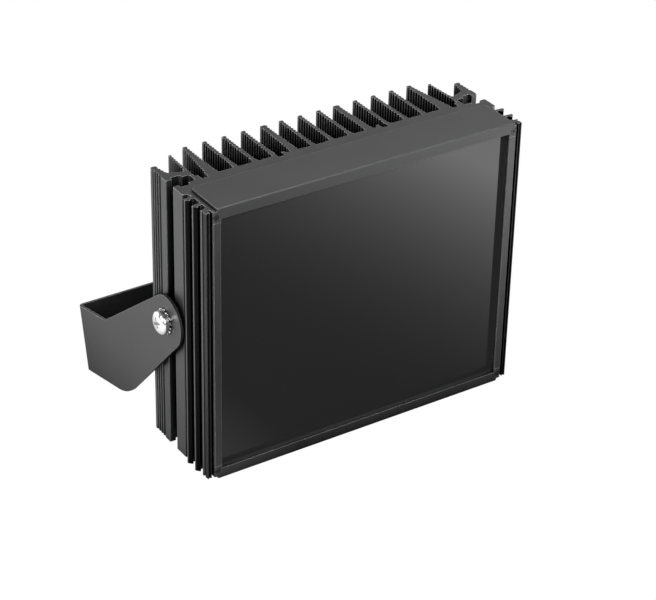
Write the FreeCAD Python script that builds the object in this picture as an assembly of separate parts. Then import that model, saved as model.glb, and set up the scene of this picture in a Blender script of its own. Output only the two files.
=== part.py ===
import FreeCAD, Part
import math
import os

# Infrared illuminator: a finned aluminium extrusion stands on end, closed by two
# caps and a dark window, and hangs in a folded bracket that slides and tilts on
# two screws in the side slots. Millimetres, +Z up, the window looks along -Y.
# Depths here run back from the front face of the lips; save() moves the origin
# to the middle of the bottom cap's underside.
V = FreeCAD.Vector

# Housing, overall
total_height = 200.0
end_cover = 2.0
cap_width = 224.0
cap_depth = 32.0

# Extruded profile, front half
wall_show = 3.0
wall_thick = 4.1
lip_width = 5.7
lip_thick = 2.4
lip_round = 0.6
base_front = 27.0
base_rear = 44.0
ledge_reach = 2.5
ledge_thick = 3.1
edge_round = 0.4
smallest_arc = 0.9

# Ribs on each side
rib_reach = 6.6
rib_thick = 1.5
rib_root = 2.1
rib_hook = 4.2
rib_rear = 25.1
rib_pitch = 9.8
rib_lean = 0.7
rib_round = 0.95
front_rib_reach = 5.7
front_rib_taper = 1.1
front_rib_set = 0.6
front_rib_groove = 1.6
front_rib_floor = 4.0
front_rib_end = 6.7
front_rib_foot = 8.6
front_rib_flute = 0.9

# Slot for the pivot nut on each side
jaw_out = 4.3
jaw_front = 29.8
jaw_notch = 1.2
slot_centre = 45.8
slot_mouth = 8.8
slot_lip = 4.2
slot_width = 13.8
slot_depth = 7.2
slot_tail_width = 8.2
slot_tail_depth = 5.2
slot_wall = 2.2
slot_rear_wall = 2.6
slot_round = 0.8

# Fins
fin_pitch = 14.44
fin_thick = 3.2
fin_tip = 84.0
last_fin = 6
wide_fin = 2
wide_fin_inner = 3.1
wide_fin_root = 2.7
channel_fin = 3
side_fin_tip = 78.9
side_fin_thick = 2.1
side_fin_lean = 1.4
corner_fin_tip = 70.9
corner_fin_thick = 3.9
corner_fin_root = 6.4
corner_fin_foot = 3.9
corner_fin_start = 55.6
corner_fin_set = 0.4
corner_flute_start = 1.0
flute_pitch = 2.9
flute_depth = 0.65
flute_start = 3.0
root_round = 0.8
channel_radius = 2.5
channel_floor = 41.6
channel_waist = 44.9
channel_lip = 46.7
channel_wall = 2.2
channel_from_fin = 0.6

# Caps and their seals
cap_lip_height = 7.5
cap_ear_height = 8.0
cap_corner = 2.4
cap_edge = 0.4
seal_thick = 0.5
seal_inset = 0.6
spigot_wall = 2.0
spigot_depth = 5.0
fit_gap = 0.3
joint_gap = 0.1
face_gap = 0.05

# Window and its gasket
gasket_thick = 2.4
gasket_set = 0.4
window_thick = 4.0
window_overlap = 3.5

# Corner screws
corner_screw_from_wall = 2.5
corner_screw_from_end = 4.0
corner_screw_radius = 1.25
corner_screw_head = 2.4
corner_screw_sink = 1.2
corner_screw_length = 16.0

# Light engine
pad_thick = 0.5
board_thick = 1.6
led_board_width = 200.0
led_from_top = 12.0
led_from_driver = 8.0
led_columns = 5
led_rows = 3
led_size = 5.0
led_height = 2.0
lens_share = 0.43
lens_rear_half = 5.0
lens_front = 12.4
lens_plate = 1.5
lens_border = 2.0
lens_foot = 4.0
led_gap = 0.2
screw_radius = 1.5
screw_head_across = 5.5
screw_head_height = 2.0
screw_bite = 6.0
board_edge = 4.5
thread_gap = 0.02

# Driver board, under the light engine
driver_width = 170.0
driver_height = 44.0
driver_from_bottom = 12.0
standoff_height = 7.0
standoff_across = 6.0
inductor_size = 20.0
inductor_height = 6.5
inductor_spacing = 30.0
inductor_from_terminals = 10.0
capacitor_radius = 3.2
capacitor_length = 18.0
capacitor_count = 2
capacitor_from_edge = 33.0
terminal_width = 20.0
terminal_depth = 6.5
terminal_height = 10.0
terminal_ways = 4
terminal_from_edge = 40.0
link_width = 16.0
link_thick = 3.0
link_reach = 6.0

# Cable gland in the back
gland_from_leds = 9.0
gland_thread_radius = 8.0
gland_inner_stand = 2.5
gland_bore = 5.0
gland_hex = 22.0
gland_flange = 5.0
gland_washer_thick = 1.5
gland_washer_radius = 10.8
gland_collar = 9.0
gland_seal_radius = 6.4
gland_seal_length = 9.0
gland_seal_stand = 2.0
gland_nut_clear = 0.3
gland_nut_wall = 3.0
gland_nut_round = 4.0
gland_nut_end_radius = 8.4
gland_mouth = 4.6
cable_radius = 3.75
recess_half_width = 21.0
recess_half_height = 21.0

# Pivot hardware, one set a side
pivot_height = 100.0
thread_radius = 4.0
nut_across = 13.0
nut_thick = 5.0
nut_corner = 1.0
slide_gap = 0.1
pan_head_radius = 8.25
pan_head_height = 5.4
pan_head_side = 2.2
pan_head_top = 5.0
cross_width = 1.9
cross_span = 9.0
cross_depth = 3.0
pivot_screw_length = 16.0
lock_washer_radius = 8.7
lock_washer_thick = 1.2
lock_washer_teeth = 14
lock_tooth_depth = 1.6
washer_play = 0.15
spacer_radius = 8.0

# Bracket, in its own frame: along runs back from the pivot, height runs up
bracket_tilt = 11.6
sheet = 2.0
bend_radius = 2.0
arm_gap = 0.3
bracket_along = 131.5
bracket_top = -26.2
bracket_bottom = -74.0
arm_end_radius = 18.0
arm_end_ahead = 1.5
arm_shoulder = 91.5
shoulder_round = 10.0
arm_heel = 70.0
heel_round = 40.0
pivot_play = 0.08
wall_bore = 5.25
wall_hole = 3.3
wall_hole_circle = 100.0

# Places worked out from the sizes
body_bottom = end_cover
body_top = total_height - end_cover
middle = total_height / 2
cap_half = cap_width / 2
cap_under = body_top + seal_thick
wall_x = cap_half + wall_show
glazing_x = wall_x - wall_thick
ledge_x = glazing_x - ledge_reach
lip_x = wall_x - lip_width
window_front = lip_thick + gasket_thick
window_rear = window_front + window_thick
ledge_front = window_rear + face_gap
ledge_rear = ledge_front + ledge_thick
window_x = glazing_x - fit_gap
window_top = total_height - cap_lip_height + window_overlap
window_bottom = cap_lip_height - window_overlap
rib_x = wall_x + rib_reach
jaw_x = wall_x + jaw_out
slot_lip_x = jaw_x - slot_lip
slot_x = slot_lip_x - slot_depth
slot_tail_x = slot_x - slot_tail_depth
side_fin_x = slot_tail_x - slot_wall
slot_rear = slot_centre + slot_width / 2 + slot_rear_wall
channel_out_x = side_fin_x - channel_wall - channel_radius
channel_in_x = channel_fin * fin_pitch - fin_thick / 2 + channel_from_fin - channel_radius
arm_x = rib_x + arm_gap
arm_outer_x = arm_x + sheet
washer_x = arm_outer_x + lock_washer_thick
corner_screw_x = wall_x - corner_screw_from_wall
board_front = base_front - pad_thick - board_thick
driver_centre = driver_from_bottom + driver_height / 2
led_low = driver_from_bottom + driver_height + led_from_driver
led_high = total_height - led_from_top
led_centre = (led_low + led_high) / 2
led_column_pitch = led_board_width / (led_columns + 0.4)
led_row_pitch = (led_high - led_low) / (led_rows + 0.35)
lens_half = lens_share * min(led_column_pitch, led_row_pitch)
driver_rear = base_front - standoff_height
driver_front = driver_rear - board_thick
lens_half_width = (led_columns - 1) / 2 * led_column_pitch + lens_half + lens_border
lens_half_height = (led_rows - 1) / 2 * led_row_pitch + lens_half + lens_border
gland_centre = led_low - gland_from_leds
gland_flange_y = base_rear + gland_washer_thick
gland_collar_y = gland_flange_y + gland_flange
gland_seal_y = gland_collar_y + gland_seal_stand
gland_nut_end = gland_seal_y + gland_seal_length + gland_nut_wall


def between(a, b, share):
    """A point part of the way from a to b."""
    return (a[0] + (b[0] - a[0]) * share, a[1] + (b[1] - a[1]) * share)


def corner_arc(before, corner, after, radius):
    """Start, middle and end of the arc that rounds one corner."""
    p = V(corner[0], corner[1], 0)
    to_before = V(before[0], before[1], 0) - p
    to_after = V(after[0], after[1], 0) - p
    half = to_before.getAngle(to_after) / 2
    reach = min(to_before.Length, to_after.Length) * 0.49
    length = min(radius / math.tan(half), reach)
    radius = length * math.tan(half)
    to_before.normalize()
    to_after.normalize()
    bisector = to_before + to_after
    bisector.normalize()
    centre = p + bisector * (radius / math.sin(half))
    return p + to_before * length, centre - bisector * radius, p + to_after * length


def outline(points):
    """A closed flat wire from (x, y) corners; a third value rounds the corner, or
    cuts it straight where the round is too small to be seen."""
    spans = []
    count = len(points)
    for i, point in enumerate(points):
        if len(point) == 3:
            spans.append(corner_arc(points[i - 1], point, points[(i + 1) % count], point[2]))
        else:
            here = V(point[0], point[1], 0)
            spans.append((here, here, here))
    edges = []
    for i, (start, mid, end) in enumerate(spans):
        if len(points[i]) == 3 and points[i][2] < smallest_arc:
            edges.append(Part.LineSegment(start, end).toShape())
        elif len(points[i]) == 3:
            edges.append(Part.Arc(start, mid, end).toShape())
        following = spans[(i + 1) % count][0]
        if (following - end).Length > 1e-6:
            edges.append(Part.LineSegment(end, following).toShape())
    return Part.Wire(edges)


def prism(points, z_low, z_high):
    """An outline in plan, carried from one height to another."""
    face = Part.Face(outline(points))
    face.translate(V(0, 0, z_low))
    return face.extrude(V(0, 0, z_high - z_low))


def plate(points, y_front, y_rear):
    """An outline seen from the front, (x, z), carried from one depth to another."""
    face = Part.Face(outline(points))
    face.rotate(V(0, 0, 0), V(1, 0, 0), 90)
    face.translate(V(0, y_front, 0))
    return face.extrude(V(0, y_rear - y_front, 0))


def sideways(points, x_low, x_high):
    """An outline seen from the side, (y, z), carried from one x to another."""
    face = Part.Face(outline(points))
    face.rotate(V(0, 0, 0), V(1, 1, 1), 120)
    face.translate(V(x_low, 0, 0))
    return face.extrude(V(x_high - x_low, 0, 0))


def block(x_low, x_high, y_low, y_high, z_low, z_high):
    """A plain rectangular solid between two corners."""
    return Part.makeBox(x_high - x_low, y_high - y_low, z_high - z_low, V(x_low, y_low, z_low))


def rectangle(x_low, x_high, z_low, z_high, radius=0.0):
    """The corners of a rectangle, rounded where a radius is given."""
    corners = [(x_low, z_low), (x_high, z_low), (x_high, z_high), (x_low, z_high)]
    if radius > 0:
        return [(x, z, radius) for x, z in corners]
    return corners


def turned(profile, at, along):
    """A turned piece: (radius, distance) corners about an axis through a point."""
    solid = Part.Face(outline(profile)).revolve(V(0, 0, 0), V(0, 1, 0), 360)
    solid.Placement = FreeCAD.Placement(at, FreeCAD.Rotation(V(0, 1, 0), along))
    return solid


def rod(radius, x, z, y_front, y_rear):
    """A round bar that runs front to back."""
    return Part.makeCylinder(radius, y_rear - y_front, V(x, y_front, z), V(0, 1, 0))


def hexagon(across, x, z):
    """The corners of a hexagon of one spanner size about a point."""
    radius = across / math.sqrt(3)
    turns = [math.radians(60 * i) for i in range(6)]
    return [(x + radius * math.cos(a), z + radius * math.sin(a)) for a in turns]


def fuse(first, *others):
    """Several shapes joined into one, with the seams in flat faces removed."""
    return first.multiFuse(list(others)).removeSplitter()


def mirrored(shape):
    """The same piece on the other side of the housing."""
    return shape.mirror(V(0, 0, 0), V(1, 0, 0))


def upended(shape):
    """The same piece at the other end of the housing."""
    return shape.mirror(V(0, 0, middle), V(0, 0, 1))


def fluted(start, end):
    """Corners along a flank: a row of sharp ridges with grooves between them."""
    dx = end[0] - start[0]
    dy = end[1] - start[1]
    length = math.hypot(dx, dy)
    inward = (-dy / length * flute_depth, dx / length * flute_depth)
    count = max(1, round(length / flute_pitch))
    corners = []
    for i in range(count):
        x, y = between(start, end, (i + 0.5) / count)
        corners.append((x + inward[0], y + inward[1]))
        if i < count - 1:
            corners.append(between(start, end, (i + 1) / count))
    return corners


def fin(outer_root, outer_tip, inner_tip, inner_root, first_flute=flute_start):
    """One fin, from its outer root over the tip to its inner root."""
    radius = (outer_tip[0] - inner_tip[0]) * 0.45
    outer_rise = outer_tip[1] - outer_root[1]
    inner_rise = inner_tip[1] - inner_root[1]
    outer_start = between(outer_root, outer_tip, first_flute / outer_rise)
    outer_end = between(outer_root, outer_tip, 1 - 1.2 * radius / outer_rise)
    inner_start = between(inner_root, inner_tip, 1 - 1.2 * radius / inner_rise)
    inner_end = between(inner_root, inner_tip, first_flute / inner_rise)
    points = [outer_root + (root_round,), outer_start]
    points += fluted(outer_start, outer_end)
    points += [outer_end, outer_tip + (radius,), inner_tip + (radius,), inner_start]
    points += fluted(inner_start, inner_end)
    points += [inner_end, inner_root + (root_round,)]
    return points


def front_rib():
    """The broad rib beside the lip, with one groove in its nose and one in its side."""
    inner = wall_x + front_rib_groove
    outer = wall_x + front_rib_reach
    shoulder = outer - front_rib_taper
    ridge = between((shoulder, front_rib_set), (outer, front_rib_end), 0.45)
    side = between(ridge, (outer, front_rib_end), 0.5)
    nose_middle = (inner + shoulder) / 2
    return [(wall_x, front_rib_floor, edge_round),
            (inner, front_rib_floor),
            (inner, front_rib_set, edge_round),
            (nose_middle - front_rib_flute, front_rib_set),
            (nose_middle, front_rib_set + front_rib_flute),
            (nose_middle + front_rib_flute, front_rib_set),
            (shoulder, front_rib_set, edge_round),
            ridge,
            (side[0] - front_rib_flute, side[1]),
            (outer, front_rib_end, rib_round),
            (inner + 1.0, front_rib_end + 0.3, root_round),
            (wall_x, front_rib_foot, edge_round)]


def hooked_rib(rear):
    """A side rib that runs outward and curls forward over a hollow."""
    inner = rib_x - rib_thick
    tip = rear - rib_hook
    return [(wall_x, rear - rib_root, edge_round),
            (inner, rear - rib_root - rib_lean, edge_round),
            (inner, tip, edge_round),
            (rib_x, tip, 2 * edge_round),
            (rib_x, rear - rib_lean, rib_round),
            (wall_x, rear, edge_round)]


def side_slot():
    """The undercut slot that traps a nut, between its front and rear jaws."""
    half_mouth = slot_mouth / 2
    half_slot = slot_width / 2
    half_tail = slot_tail_width / 2
    front = [(jaw_x, slot_centre - half_mouth, edge_round),
             (slot_lip_x, slot_centre - half_mouth),
             (slot_lip_x, slot_centre - half_slot, slot_round),
             (slot_x, slot_centre - half_slot, slot_round),
             (slot_x, slot_centre - half_tail),
             (slot_tail_x, slot_centre - half_tail, slot_round)]
    rear = [(x, 2 * slot_centre - y, *r) for x, y, *r in reversed(front)]
    lead_in = [(wall_x + jaw_notch, jaw_front - 2 * jaw_notch, edge_round),
               (wall_x + jaw_notch, jaw_front - jaw_notch),
               (jaw_x, jaw_front, edge_round)]
    return lead_in + front + rear


def corner_fin():
    """The short outer fin behind the slot."""
    foot_out = (jaw_x, corner_fin_start)
    tip_out = (jaw_x - corner_fin_set, corner_fin_tip)
    tip_in = (jaw_x - corner_fin_set - corner_fin_thick, corner_fin_tip)
    foot_in = (jaw_x - corner_fin_root, slot_rear + corner_fin_foot)
    return fin(foot_out, tip_out, tip_in, foot_in, corner_flute_start)[1:]


def side_fin():
    """The slot's inner wall, which runs on behind the housing as a thin fin."""
    foot_out = (slot_tail_x, slot_rear)
    tip_out = (slot_tail_x - side_fin_lean, side_fin_tip)
    tip_in = (slot_tail_x - side_fin_lean - side_fin_thick, side_fin_tip)
    foot_in = (side_fin_x, channel_lip)
    return fin(foot_out, tip_out, tip_in, foot_in)


def screw_channel(centre):
    """An open round-bottomed channel in the base, for a self-tapping screw."""
    return [(centre + channel_radius, channel_waist),
            (centre + channel_radius, channel_floor, channel_radius * 0.98),
            (centre - channel_radius, channel_floor, channel_radius * 0.98),
            (centre - channel_radius, channel_waist)]


def straight_fin(number):
    """One of the evenly spaced fins; those beside a channel grow out of its wall."""
    x = number * fin_pitch
    half = fin_thick / 2
    inner = wide_fin_inner if number == wide_fin else half
    outer_foot = wide_fin_root if number == wide_fin else half
    outer_root = (x + outer_foot, base_rear)
    inner_root = (x - inner, base_rear)
    if number == last_fin:
        outer_root = (channel_out_x - channel_radius, channel_waist + 0.5)
    if number == channel_fin:
        inner_root = (x - inner, channel_lip)
    return fin(outer_root, (x + half, fin_tip), (x - inner, fin_tip), inner_root)


def half_profile():
    """The right half of the extrusion, from the cavity round to the middle fin."""
    points = [(glazing_x, base_front, root_round),
              (glazing_x, ledge_rear),
              (ledge_x, ledge_rear),
              (ledge_x, ledge_front),
              (glazing_x, ledge_front),
              (glazing_x, lip_thick),
              (lip_x, lip_thick),
              (lip_x, 0.0, edge_round),
              (wall_x, 0.0, lip_round)]
    points += front_rib() + hooked_rib(rib_rear - rib_pitch) + hooked_rib(rib_rear)
    points += side_slot() + corner_fin() + side_fin()
    points += [(channel_out_x + channel_radius, channel_lip)]
    points += screw_channel(channel_out_x)
    for number in range(last_fin, 0, -1):
        points += straight_fin(number)
        if number == channel_fin:
            points += screw_channel(channel_in_x)
            points += [(channel_in_x - channel_radius, channel_lip),
                       (channel_in_x - channel_radius - channel_wall, channel_lip, edge_round),
                       (channel_in_x - channel_radius - channel_wall, base_rear, root_round)]
    middle_fin = straight_fin(0)
    return points + middle_fin[:len(middle_fin) // 2]


def led_places():
    """Where the emitters and their lenses sit."""
    columns = [(i - (led_columns - 1) / 2) * led_column_pitch for i in range(led_columns)]
    rows = [led_centre + (i - (led_rows - 1) / 2) * led_row_pitch for i in range(led_rows)]
    return [(x, z) for x in columns for z in rows]


def led_screw_places():
    """Where the light engine is screwed to the base."""
    x = led_board_width / 2 - board_edge
    return [(sx, sz) for sx in (-x, x) for sz in (led_low + board_edge, led_high - board_edge)]


def driver_screw_places():
    """Where the driver board is screwed to its standoffs."""
    x = driver_width / 2 - board_edge
    z = driver_height / 2 - board_edge
    return [(sx, driver_centre + sz) for sx in (-x, x) for sz in (-z, z)]


def corner_screw_places():
    """The four corners where the cap ears are screwed down."""
    z = body_top - corner_screw_from_end
    return [(sx, sz) for sx in (-corner_screw_x, corner_screw_x) for sz in (z, total_height - z)]


def heatsink_body():
    """The extrusion: cut to length, with its ends, back and holes machined."""
    half = half_profile()
    other_half = [(-x, y, *r) for x, y, *r in reversed(half)]
    body = prism(half + other_half, body_bottom, body_top)
    top_notch = block(lip_x - 1, wall_x + 0.01, -1, lip_thick, body_top - cap_ear_height, body_top + 1)
    cuts = [top_notch, mirrored(top_notch), upended(top_notch), upended(mirrored(top_notch))]
    cuts.append(block(-recess_half_width, recess_half_width, base_rear, fin_tip + 1,
                      gland_centre - recess_half_height, gland_centre + recess_half_height))
    cuts.append(rod(gland_thread_radius + thread_gap, 0, gland_centre, base_front - 1, base_rear + 1))
    for x, z in led_screw_places() + driver_screw_places():
        cuts.append(rod(screw_radius + thread_gap, x, z, base_front - 1, base_front + screw_bite))
    for x, z in corner_screw_places():
        cuts.append(rod(corner_screw_radius + thread_gap, x, z, 0, corner_screw_length))
    return body.cut(cuts)


def top_cap():
    """A plate with a lip that holds the window, two ears and an inner spigot."""
    corners = [(-cap_half, 0, edge_round), (cap_half, 0, edge_round),
               (cap_half, cap_depth, cap_corner), (-cap_half, cap_depth, cap_corner)]
    lid = prism(corners, cap_under, total_height)
    front = [e for e in lid.Edges if e.BoundBox.ZMin > total_height - 0.01 and e.BoundBox.YMax < cap_depth / 2]
    lid = lid.makeChamfer(cap_edge, front)
    band = block(-cap_half, cap_half, 0, lip_thick, body_top, cap_under)
    lip = block(-lip_x, lip_x, 0, lip_thick, total_height - cap_lip_height, body_top)
    ear = prism([(lip_x, 0), (wall_x, 0, lip_round), (wall_x, lip_thick - face_gap),
                 (lip_x, lip_thick - face_gap)], body_top - cap_ear_height + joint_gap, body_top)
    x = ledge_x - fit_gap
    y_front = ledge_rear + fit_gap
    y_rear = base_front - fit_gap
    wall = spigot_wall
    spigot = block(-x, x, y_front, y_rear, body_top - spigot_depth, cap_under)
    hollow = block(-x + wall, x - wall, y_front + wall, y_rear - wall, 0, cap_under)
    cap = fuse(lid, band, lip, ear, mirrored(ear), spigot.cut(hollow))
    for x, z in corner_screw_places():
        cap = cap.cut(corner_screw(x, z, joint_gap))
    return cap


def cap_seal():
    """A flat rubber frame between a cap and the end of the extrusion."""
    x = cap_half - seal_inset
    inner = ledge_x
    frame = block(-x, x, lip_thick + fit_gap, cap_depth - seal_inset, body_top, cap_under)
    return frame.cut(block(-inner, inner, ledge_rear, base_front, 0, total_height))


def corner_screw(x, z, gap):
    """A small countersunk screw, or with a gap the shape of its hole."""
    head = corner_screw_head + gap
    shank = corner_screw_radius + gap
    end = corner_screw_length - edge_round
    return turned([(0, 0), (head, 0), (shank, corner_screw_sink + gap), (shank, end), (0, end)],
                  V(x, 0, z), V(0, 1, 0))


def corner_screws():
    """The four countersunk screws at the corners of the front."""
    return Part.makeCompound([corner_screw(x, z, 0.0) for x, z in corner_screw_places()])


def window_gasket():
    """The rubber frame between the window and the lips in front of it."""
    outer = plate(rectangle(-window_x, window_x, window_bottom, window_top), lip_thick, window_front)
    x = lip_x + gasket_set
    z = cap_lip_height - gasket_set
    return outer.cut(block(-x, x, 0, window_front + 1, z, total_height - z))


def front_window():
    """The dark pane that lets infrared light through."""
    return plate(rectangle(-window_x, window_x, window_bottom, window_top, 2 * edge_round),
                 window_front, window_rear)


def thermal_pad():
    """The soft sheet that carries the heat of the light engine into the base."""
    x = led_board_width / 2 - 2 * board_edge
    return block(-x, x, base_front - pad_thick, base_front, led_low, led_high)


def slotted(board, places):
    """A board with an open slot in its side for each screw."""
    half = screw_radius + fit_gap
    cuts = []
    for x, z in places:
        side = math.copysign(abs(x) - half, x)
        edge = math.copysign(abs(x) + 2 * board_edge, x)
        cuts.append(block(min(side, edge), max(side, edge), 0, base_front, z - half, z + half))
    return board.cut(cuts)


def led_board():
    """The metal-core board that carries the emitters."""
    half = led_board_width / 2
    board = block(-half, half, board_front, base_front - pad_thick, led_low, led_high)
    return slotted(board, led_screw_places())


def led_emitters():
    """Square emitter packages, one behind each lens."""
    half = led_size / 2
    return Part.makeCompound([block(x - half, x + half, board_front - led_height, board_front,
                                    z - half, z + half) for x, z in led_places()])


def lens_array():
    """One clear moulding: a plate, a tapered lens over each emitter and four feet."""
    low = led_centre - lens_half_height
    high = led_centre + lens_half_height
    wide = lens_half_width
    array = block(-wide, wide, lens_front, lens_front + lens_plate, low, high)
    rear = board_front - led_height - led_gap
    small = lens_rear_half
    lenses = []
    for x, z in led_places():
        lenses.append(Part.makeWedge(x - lens_half, lens_front, z - lens_half, z - small, x - small,
                                     x + lens_half, rear, z + lens_half, z + small, x + small))
    feet = [block(x, x + lens_foot, lens_front, board_front, z, z + lens_foot)
            for x in (-wide, wide - lens_foot) for z in (low, high - lens_foot)]
    return fuse(array, *lenses, *feet)


def board_screw(x, z, face):
    """One small hexagon-head screw, its head on the front face of a board."""
    head = plate(hexagon(screw_head_across, x, z), face - screw_head_height, face)
    return fuse(head, rod(screw_radius, x, z, face, base_front + screw_bite))


def board_screws():
    """All the screws that hold the two boards."""
    screws = [board_screw(x, z, board_front) for x, z in led_screw_places()]
    screws += [board_screw(x, z, driver_front) for x, z in driver_screw_places()]
    return Part.makeCompound(screws)


def driver_board():
    """The circuit board that drives the emitters, under the light engine."""
    x = driver_width / 2
    z = driver_height / 2
    board = block(-x, x, driver_front, driver_rear, driver_centre - z, driver_centre + z)
    return slotted(board, driver_screw_places())


def driver_standoffs():
    """Hexagonal spacers between the base and the driver board."""
    spacers = []
    for x, z in driver_screw_places():
        outer = plate(hexagon(standoff_across, x, z), driver_rear, base_front)
        spacers.append(outer.cut(rod(screw_radius + thread_gap, x, z, driver_rear, base_front)))
    return Part.makeCompound(spacers)


def inductors():
    """Two moulded power inductors with their corners cut off."""
    half = inductor_size / 2
    bodies = []
    first = terminal_from_edge + terminal_width + inductor_from_terminals - driver_width / 2
    for x in (first, first + inductor_spacing):
        corners = rectangle(x - half / 1.2, x + half / 1.2, driver_centre - half, driver_centre + half, 2 * edge_round)
        bodies.append(plate(corners, driver_front - inductor_height, driver_front))
    return Part.makeCompound(bodies)


def capacitors():
    """A row of capacitors laid flat on the driver board."""
    cans = []
    for i in range(capacitor_count):
        x = driver_width / 2 - capacitor_from_edge - i * capacitor_radius * 2.6
        at = V(x, driver_front - capacitor_radius, driver_centre - capacitor_length / 2)
        cans.append(Part.makeCylinder(capacitor_radius, capacitor_length, at, V(0, 0, 1)))
    return Part.makeCompound(cans)


def terminal_block():
    """The terminals for the supply leads, each with a wire way and a screw well."""
    left = terminal_from_edge - driver_width / 2
    low = driver_centre - terminal_height
    high = low + terminal_height
    front = driver_front - terminal_depth
    body = block(left, left + terminal_width, front, driver_front, low, high)
    pitch = terminal_width / terminal_ways
    cuts = []
    for i in range(terminal_ways):
        x = left + pitch * (i + 0.2)
        way = pitch * 0.6
        cuts.append(block(x, x + way, front + 2, front + 5, low, low + 3))
        cuts.append(block(x, x + way, front, front + terminal_depth / 2, high - 1 - way, high - 1))
    return body.cut(cuts)


def board_link():
    """The stiff link that feeds the light engine from the driver board."""
    low = driver_centre + driver_height / 2
    side = [(driver_front, low - link_reach), (driver_front - link_thick, low - link_reach),
            (driver_front - link_thick, led_low + link_reach), (board_front, led_low + link_reach),
            (board_front, led_low + 1), (driver_front, led_low + 1)]
    middle_x = led_column_pitch / 2
    return sideways(side, middle_x - link_width / 2, middle_x + link_width / 2)


def gland_gasket():
    """The flat washer that seals the gland against the back of the base."""
    outer = rod(gland_washer_radius, 0, gland_centre, base_rear, gland_flange_y)
    return outer.cut(rod(gland_thread_radius + thread_gap, 0, gland_centre, base_rear, gland_flange_y))


def gland_body():
    """The gland's body: thread into the base, spanner hexagon, threaded collar."""
    front = base_front - gland_inner_stand
    end = gland_collar_y + gland_collar
    stem = rod(gland_thread_radius, 0, gland_centre, front, end)
    flats = plate(hexagon(gland_hex, 0, gland_centre), gland_flange_y, gland_collar_y)
    body = fuse(stem, flats)
    body = body.cut(rod(gland_bore, 0, gland_centre, front - 1, end + 1))
    return body.cut(rod(gland_seal_radius + thread_gap, 0, gland_centre, gland_seal_y, end + 1))


def gland_seal():
    """The rubber bush that grips the cable."""
    end = gland_seal_y + gland_seal_length
    outer = rod(gland_seal_radius, 0, gland_centre, gland_seal_y, end)
    return outer.cut(rod(cable_radius, 0, gland_centre, gland_seal_y, end))


def gland_cap_nut():
    """The nut that squeezes the bush: a spanner hexagon and a tapered end."""
    start = gland_collar_y + gland_nut_clear
    shoulder = gland_seal_y + gland_seal_length
    taper = gland_nut_end - gland_nut_round
    flats = plate(hexagon(gland_hex, 0, gland_centre), start, taper)
    nose = turned([(0, taper), (gland_hex / 2 - edge_round, taper), (gland_nut_end_radius, gland_nut_end),
                   (0, gland_nut_end)], V(0, 0, gland_centre), V(0, 1, 0))
    nut = fuse(flats, nose).cut(rod(gland_thread_radius + thread_gap, 0, gland_centre, start - 1, shoulder))
    return nut.cut(rod(gland_mouth, 0, gland_centre, start, gland_nut_end + 1))


def pair(shape):
    """A piece and its copy on the other side of the housing."""
    return Part.makeCompound([shape, mirrored(shape)])


def slot_nut():
    """The square nut that slides in the side slot."""
    half = nut_across / 2
    outer = slot_lip_x - slide_gap
    low = slot_centre - half
    high = slot_centre + half
    sides = [(outer - nut_thick, low, nut_corner / 2), (outer, low, nut_corner),
             (outer, high, nut_corner), (outer - nut_thick, high, nut_corner / 2)]
    nut = prism(sides, pivot_height - half, pivot_height + half)
    hole = Part.makeCylinder(thread_radius + thread_gap, 4 * nut_thick,
                             V(outer - 2 * nut_thick, slot_centre, pivot_height), V(1, 0, 0))
    return nut.cut(hole)


def spacer_washer():
    """The plain washer between the bracket arm and the slot's jaws."""
    inner = jaw_x + slide_gap
    at = V(inner, slot_centre, pivot_height)
    outer = Part.makeCylinder(spacer_radius, arm_x - inner, at, V(1, 0, 0))
    return outer.cut(Part.makeCylinder(thread_radius + washer_play, arm_x - inner, at, V(1, 0, 0)))


def lock_washer():
    """The washer with outside teeth under the screw head."""
    root = lock_washer_radius - lock_tooth_depth
    step = 2 * math.pi / lock_washer_teeth
    corners = []
    for i in range(lock_washer_teeth):
        for share, radius in ((0.0, root), (0.28, root), (0.4, lock_washer_radius), (0.88, lock_washer_radius)):
            angle = (i + share) * step
            corners.append((slot_centre + radius * math.cos(angle), pivot_height + radius * math.sin(angle)))
    ring = sideways(corners, arm_outer_x, washer_x)
    hole = Part.makeCylinder(thread_radius + washer_play, lock_washer_thick,
                             V(arm_outer_x, slot_centre, pivot_height), V(1, 0, 0))
    return ring.cut(hole)


def pivot_screw():
    """The pan-head screw that is the pivot and clamps the bracket."""
    head = turned([(0, 0), (pan_head_radius, 0), (pan_head_radius, pan_head_side),
                   (pan_head_top, pan_head_height), (0, pan_head_height)],
                  V(washer_x, slot_centre, pivot_height), V(1, 0, 0))
    shank = Part.makeCylinder(thread_radius, pivot_screw_length,
                              V(washer_x - pivot_screw_length, slot_centre, pivot_height), V(1, 0, 0))
    face = washer_x + pan_head_height
    half = cross_width / 2
    reach = cross_span / 2
    wing = block(face - cross_depth, face + 1, slot_centre - reach, slot_centre + reach,
                 pivot_height - half, pivot_height + half)
    other = wing.copy()
    other.rotate(V(0, slot_centre, pivot_height), V(1, 0, 0), 90)
    turn = fuse(wing, other)
    turn.rotate(V(0, slot_centre, pivot_height), V(1, 0, 0), 20)
    return fuse(head, shank).cut(turn)


def tangent_point(along, height, side):
    """Where a line from a corner of the arm touches the round of the arm's end."""
    reach = along + arm_end_ahead
    angle = math.atan2(height, reach) + side * math.acos(arm_end_radius / math.hypot(reach, height))
    return (arm_end_radius * math.cos(angle) - arm_end_ahead, arm_end_radius * math.sin(angle))


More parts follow.
